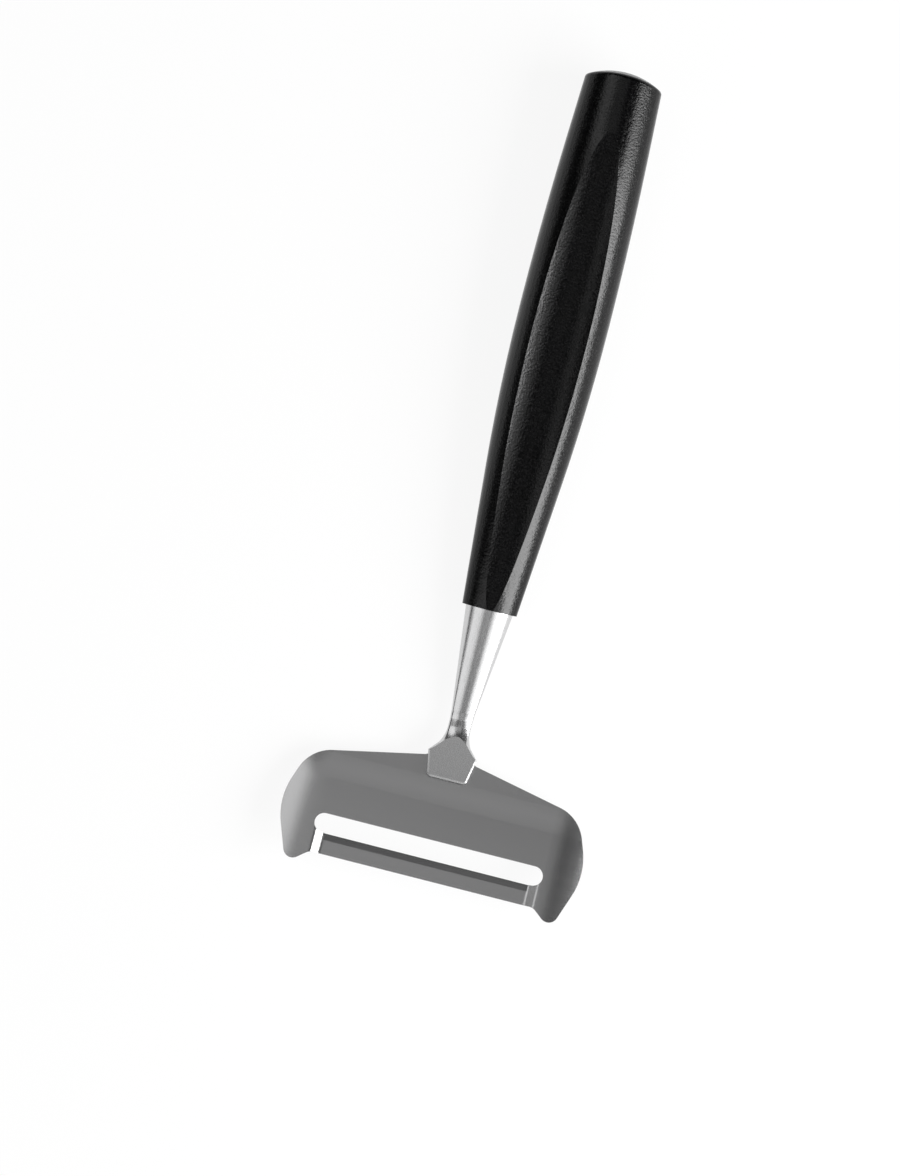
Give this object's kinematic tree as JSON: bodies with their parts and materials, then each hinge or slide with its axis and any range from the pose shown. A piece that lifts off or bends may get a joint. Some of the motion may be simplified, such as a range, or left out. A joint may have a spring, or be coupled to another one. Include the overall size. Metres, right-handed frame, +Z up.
{
  "type": "cheese slicer",
  "caption": "Hand-held cheese slicer: a wide steel plate with a cutting slot, on a tapered steel neck set in a moulded plastic handle.",
  "frame": {"origin": "centre of the bounding box's bottom face; the slicer lies on a table with its top side up", "axes": "+Y along the handle from the head towards the butt, +X across the head, +Z up"},
  "size_m": [0.0896, 0.2438, 0.0207],
  "materials": {
    "sheet_steel": "finely brushed stainless sheet",
    "forged_steel": "polished stainless bar",
    "handle_plastic": "smooth satin black"
  },
  "bodies": {
    "root": {"head_plate": "sheet_steel", "neck": "forged_steel", "handle": "handle_plastic"}
  },
  "joints": []
}
